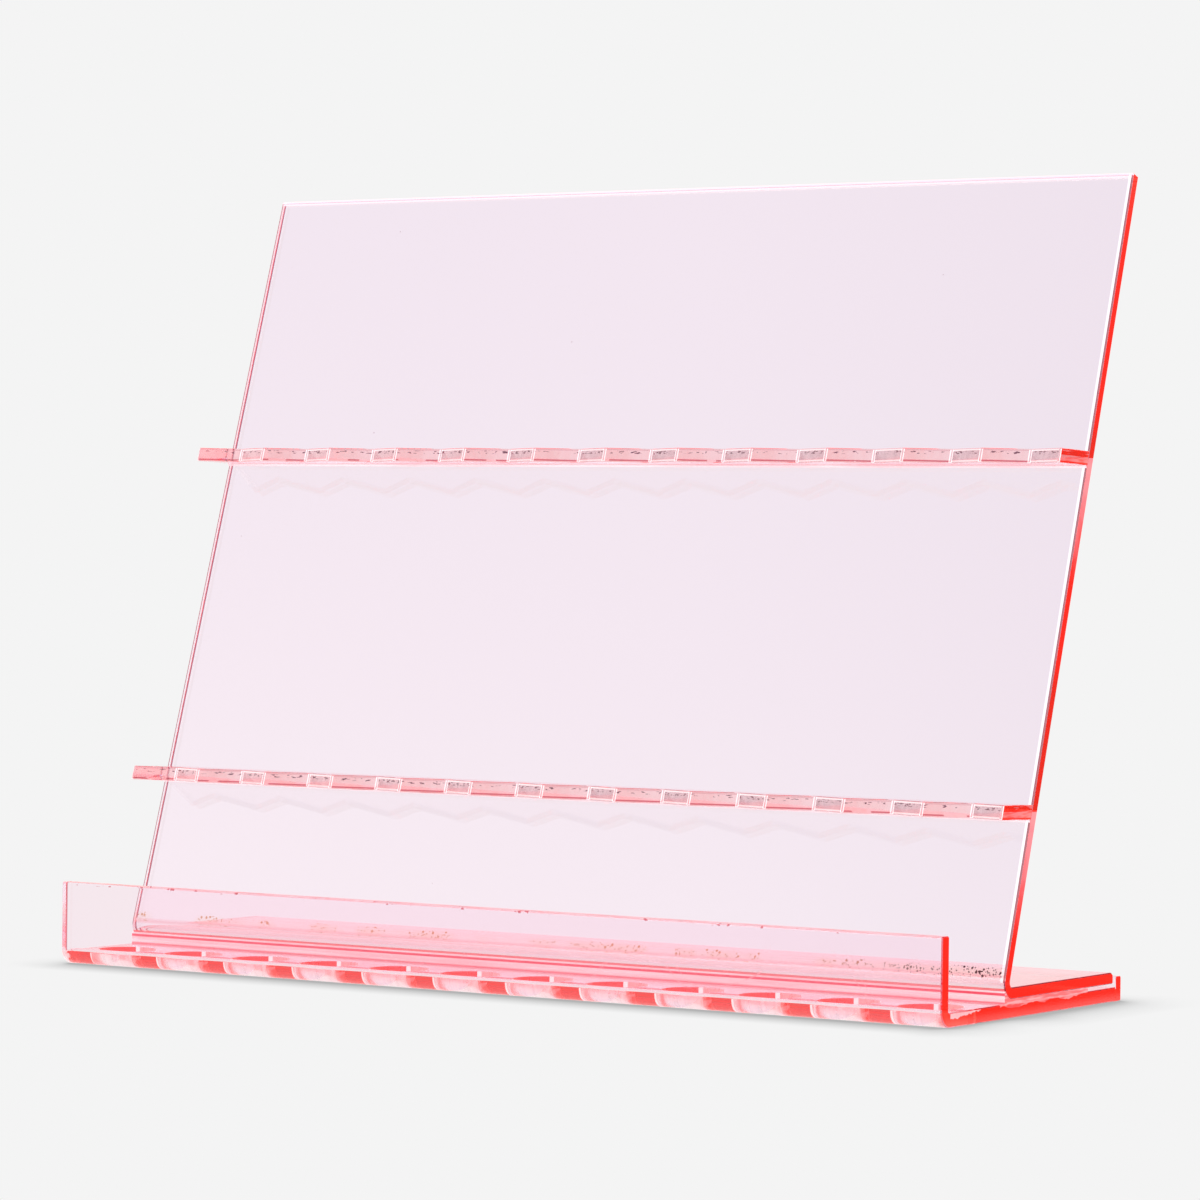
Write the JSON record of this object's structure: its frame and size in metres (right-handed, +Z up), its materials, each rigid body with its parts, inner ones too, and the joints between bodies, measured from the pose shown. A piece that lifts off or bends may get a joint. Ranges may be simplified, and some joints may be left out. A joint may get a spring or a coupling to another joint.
{
  "type": "makeup brush stand",
  "caption": "Free-standing clear pink acrylic makeup brush stand: holed tray with a bent front lip, leaning back panel on a bonded foot, and notched shelves",
  "frame": {"origin": "centre of the stand's outer box, on the plane of the tray's underside", "axes": "+X along the lip towards the viewer's right, +Y from the lip to the rear, +Z up"},
  "size_m": [0.24, 0.0871, 0.1874],
  "materials": {
    "pink_acrylic": "polished clear acrylic sheet with a faint pink tint, glossy faces and saturated red cut edges",
    "clear_adhesive": "clear set adhesive, glossy, slightly pink from the sheets beside it"
  },
  "bodies": {
    "root": {"base_tray": "pink_acrylic", "rear_stop": "pink_acrylic", "back_panel": "pink_acrylic", "foot_bond": "clear_adhesive", "upper_shelf": "pink_acrylic", "lower_shelf": "pink_acrylic", "upper_shelf_cement": "clear_adhesive", "lower_shelf_cement": "clear_adhesive"}
  },
  "joints": []
}
